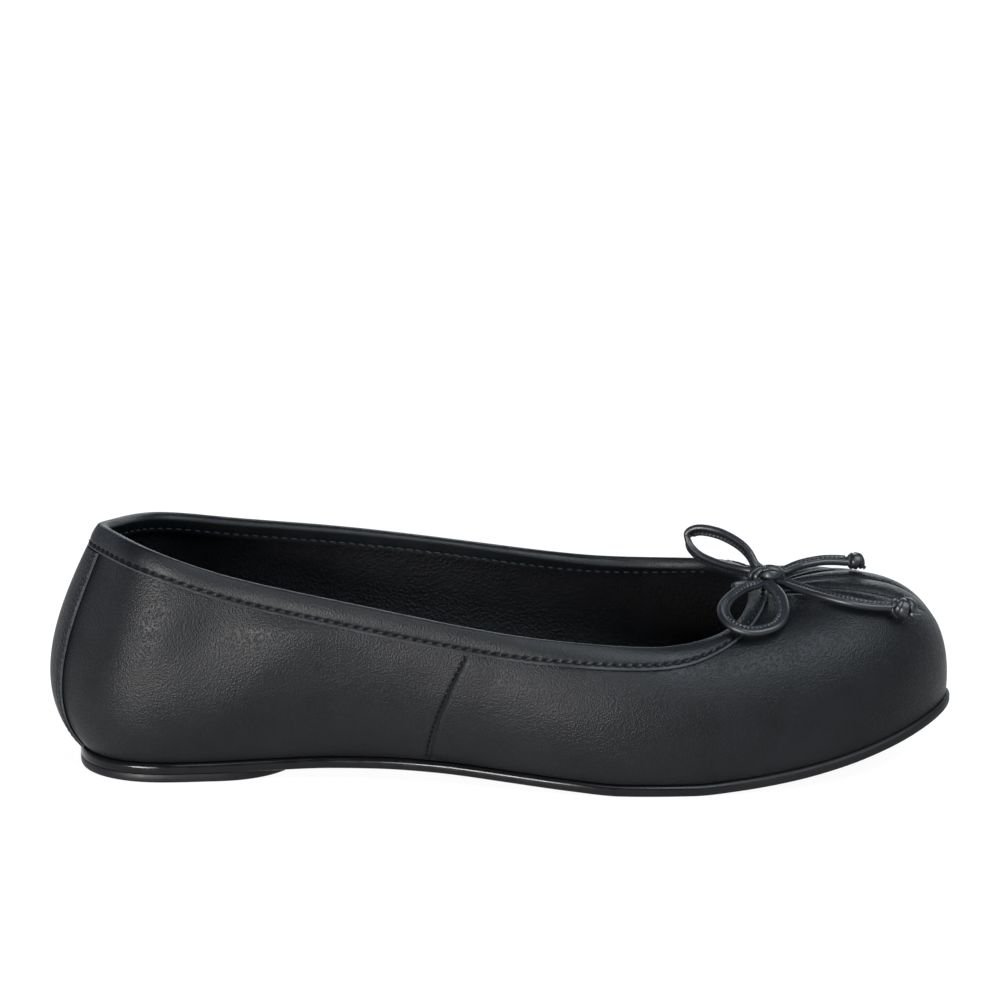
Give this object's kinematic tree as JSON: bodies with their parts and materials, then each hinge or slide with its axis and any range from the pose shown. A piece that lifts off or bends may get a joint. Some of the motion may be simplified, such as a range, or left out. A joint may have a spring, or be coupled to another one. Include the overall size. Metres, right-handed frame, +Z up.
{
  "type": "ballet flat",
  "caption": "Soft round-toe ballet flat for a right foot, with a bound topline, pleated toe, small flat lace bow and a thin sole with a low heel lift.",
  "frame": {"origin": "on the floor, under the middle of the shoe's bounding box, the bow left out", "axes": "+X to the toe, +Y to the inner (medial) side of the foot, +Z up"},
  "size_m": [0.248, 0.0822, 0.0661],
  "materials": {
    "leather": "soft fine-grained black leather, half gloss",
    "binding": "smooth black leather tape, half gloss",
    "lining": "matt black lining",
    "rubber": "smooth black rubber, half gloss edge"
  },
  "bodies": {
    "root": {"upper": "leather", "backstay": "leather", "topline_binding": "binding", "insole": "lining", "outsole": "rubber", "heel_lift": "rubber", "bow_knot": "binding", "bow_loop_lateral": "binding", "bow_loop_medial": "binding", "bow_tail_lateral": "binding", "bow_tail_medial": "binding", "tail_knot_lateral": "binding", "tail_knot_medial": "binding"}
  },
  "joints": []
}
